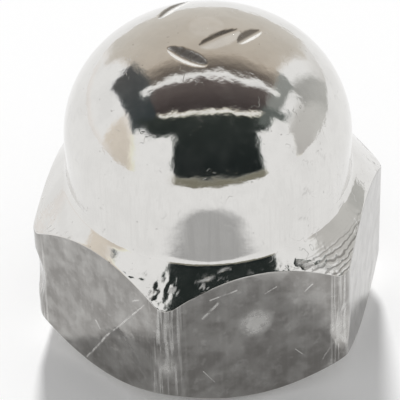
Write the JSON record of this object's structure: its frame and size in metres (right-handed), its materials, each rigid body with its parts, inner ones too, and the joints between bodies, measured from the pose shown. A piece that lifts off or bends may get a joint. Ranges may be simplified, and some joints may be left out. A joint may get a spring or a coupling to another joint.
{
  "type": "cap nut",
  "caption": "Polished hexagon cap nut: a closed dome over a blind tapped hole, with worn corners and a nicked crown.",
  "frame": {"origin": "centre of the bearing face, on the thread's axis", "axes": "+Z along the thread's axis, from the bearing face to the dome; two flats face +Y and -Y, and corners lie on +X and -X"},
  "size_m": [0.0192, 0.017, 0.0185],
  "materials": {
    "plated_steel": "polished plating, scratched and bruised with use"
  },
  "bodies": {
    "root": {"cap_nut": "plated_steel"}
  },
  "joints": []
}
